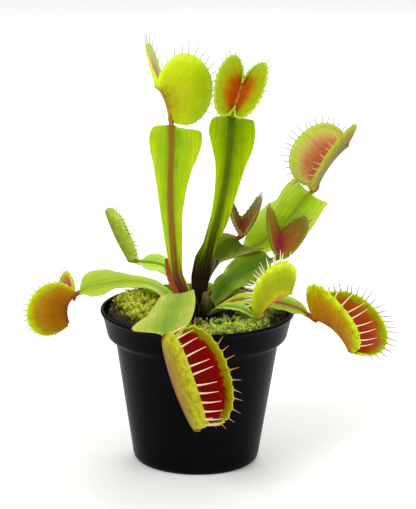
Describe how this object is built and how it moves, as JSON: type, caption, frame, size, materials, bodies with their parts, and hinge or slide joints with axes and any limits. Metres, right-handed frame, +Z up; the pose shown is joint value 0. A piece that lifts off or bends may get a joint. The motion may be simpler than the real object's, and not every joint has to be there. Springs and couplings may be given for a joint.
{
  "type": "potted venus flytrap",
  "caption": "Carnivorous house plant in a round black nursery pot: a rosette of winged leaves, each ending in a two-lobed trap edged with stiff cilia, in mossy peat.",
  "frame": {"origin": "centre of the pot's flat underside", "axes": "+Z up, -Y the front that the picture shows, +X to the right seen from the front"},
  "size_m": [0.1771, 0.1256, 0.2014],
  "materials": {
    "pot_plastic": "semi-gloss moulded black plastic",
    "peat": "damp dark brown peat, crumbly",
    "moss_golden": "feathery golden-green moss",
    "moss_green": "feathery dark green moss",
    "crown": "pale green leaf bases, satin",
    "blade_bright": "bright yellow-green leaf blade, satin",
    "blade_deep": "deep green leaf blade, satin",
    "blade_dark": "dull grey-green leaf blade",
    "trap_green": "yellow-green trap, satin, with cream cilia",
    "trap_orange": "orange to ochre trap with a yellow-green margin, satin, with cream cilia",
    "trap_bronze": "bronze brown trap, satin, with purplish cilia",
    "young_leaf": "pink and red rolled young leaf",
    "dry_leaf": "dry tan brown leaf",
    "dead_trap": "dead blackish purple trap"
  },
  "bodies": {
    "root": {"pot": "pot_plastic", "soil": "peat", "moss_left": "moss_golden", "moss_back": "moss_golden", "moss_right": "moss_green", "crown": "crown", "leaf_tall_left": "blade_bright", "trap_tall_left": "trap_green", "leaf_tall_right": "blade_bright", "trap_tall_right": "trap_orange", "leaf_back_right": "blade_deep", "trap_back_right": "trap_orange", "leaf_mid_right": "blade_deep", "trap_mid_right": "trap_bronze", "leaf_behind": "blade_dark", "trap_behind": "trap_bronze", "leaf_front_right": "blade_bright", "trap_front_right": "trap_green", "leaf_far_right": "blade_bright", "trap_far_right": "trap_orange", "leaf_front": "blade_bright", "trap_front": "trap_orange", "leaf_far_left": "blade_bright", "trap_far_left": "trap_orange", "leaf_upper_left": "blade_bright", "trap_upper_left": "trap_green", "leaf_young": "young_leaf", "shoot": "blade_bright", "leaf_dry": "dry_leaf", "trap_dead": "dead_trap"}
  },
  "joints": []
}
